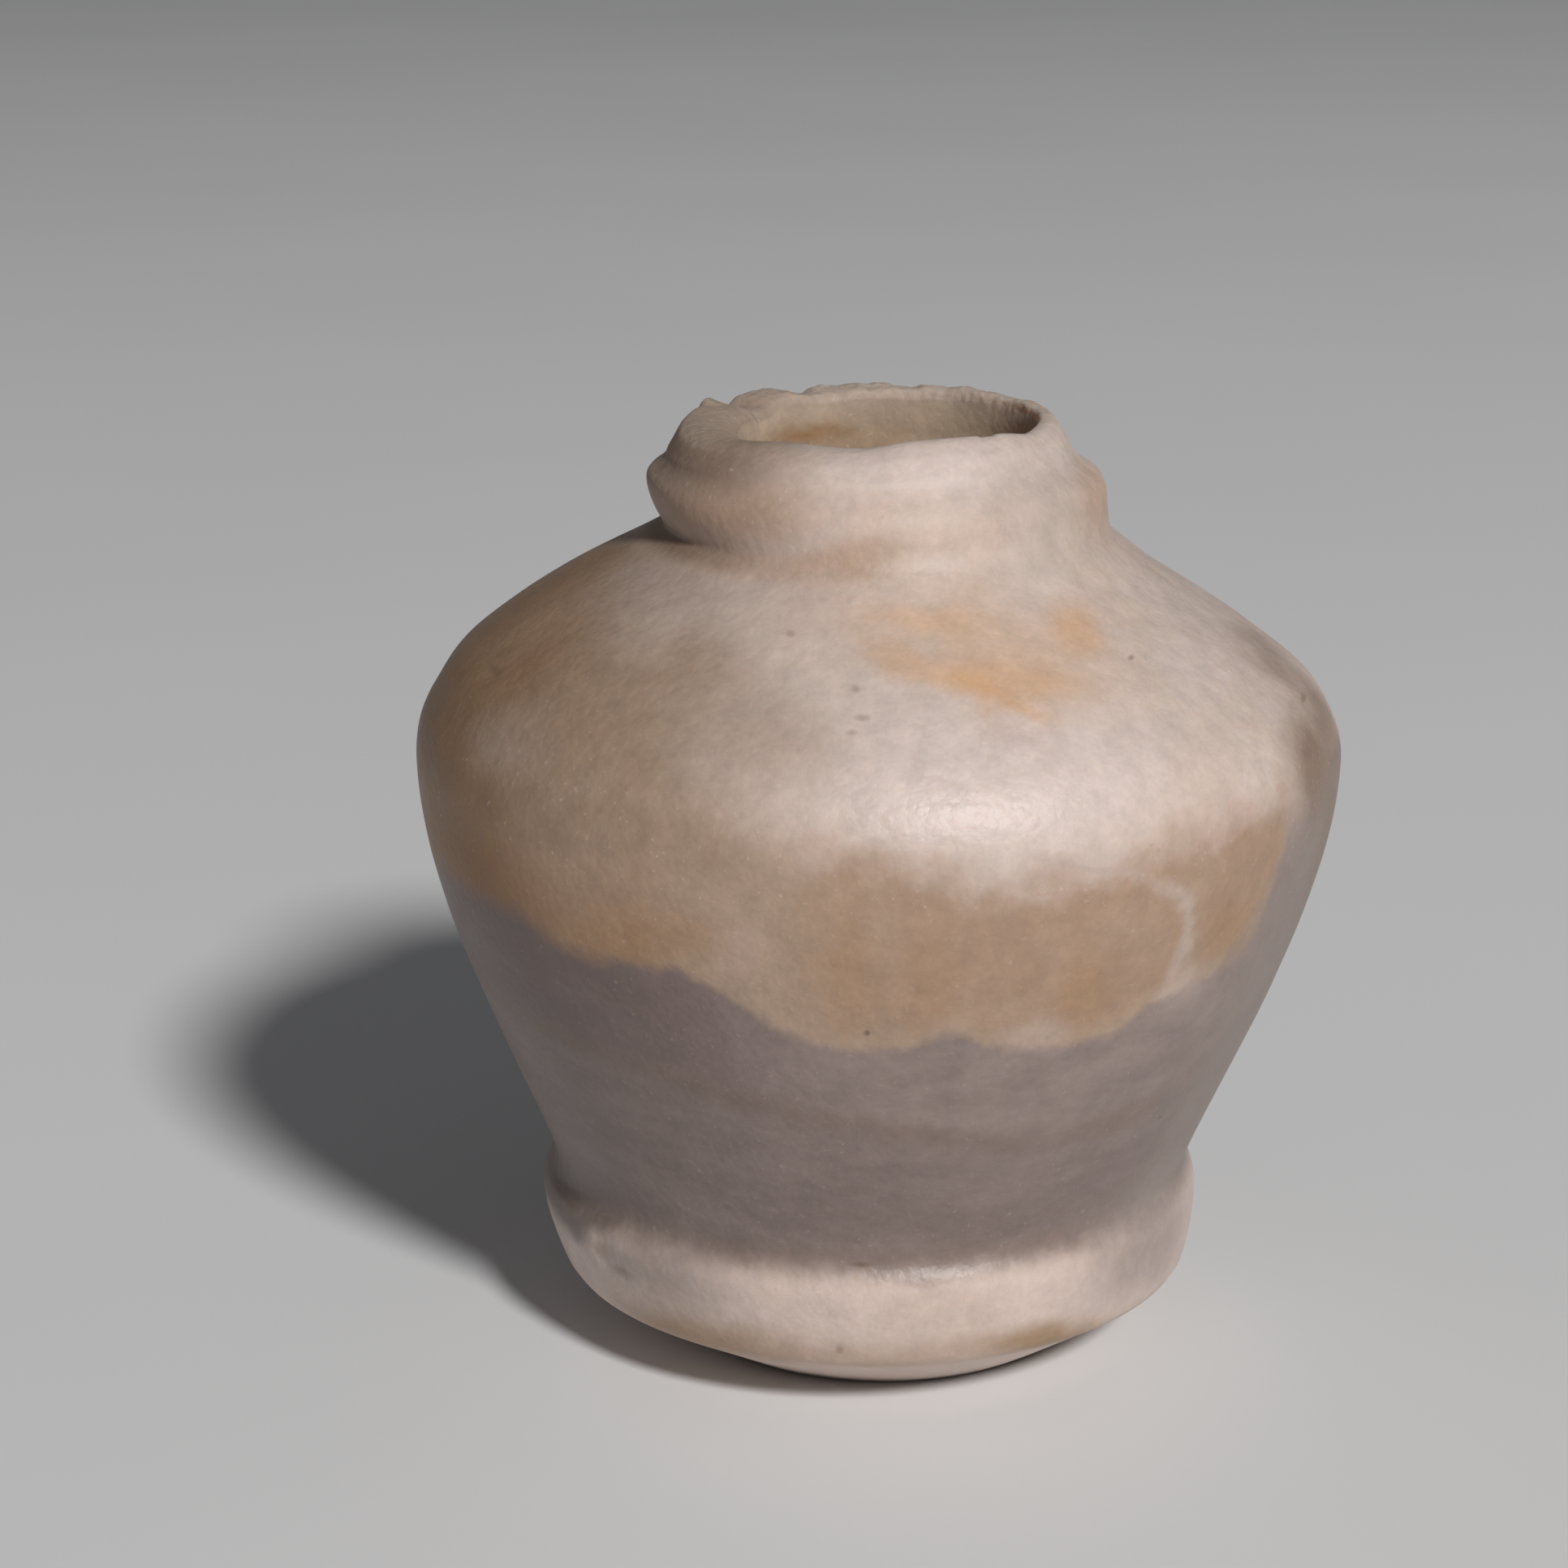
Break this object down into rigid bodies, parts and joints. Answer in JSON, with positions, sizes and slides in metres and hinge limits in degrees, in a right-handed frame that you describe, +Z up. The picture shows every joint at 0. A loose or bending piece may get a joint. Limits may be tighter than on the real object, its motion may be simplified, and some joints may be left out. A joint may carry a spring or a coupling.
{
  "type": "kohl jar",
  "caption": "Small squat jar carved from one piece of banded stone, with a disc foot, a thick collar, a broken neck rim and a drilled bore.",
  "frame": {"origin": "in the flat underside, below the middle of the body", "axes": "+Z up out of the mouth, -Y towards the better face, +X to its right"},
  "size_m": [0.046, 0.0456, 0.047],
  "materials": {
    "banded_stone": "smooth, softly glossy, slightly translucent banded calcite, cream over grey, with old orange stains"
  },
  "bodies": {
    "root": {"kohl_jar": "banded_stone"}
  },
  "joints": []
}
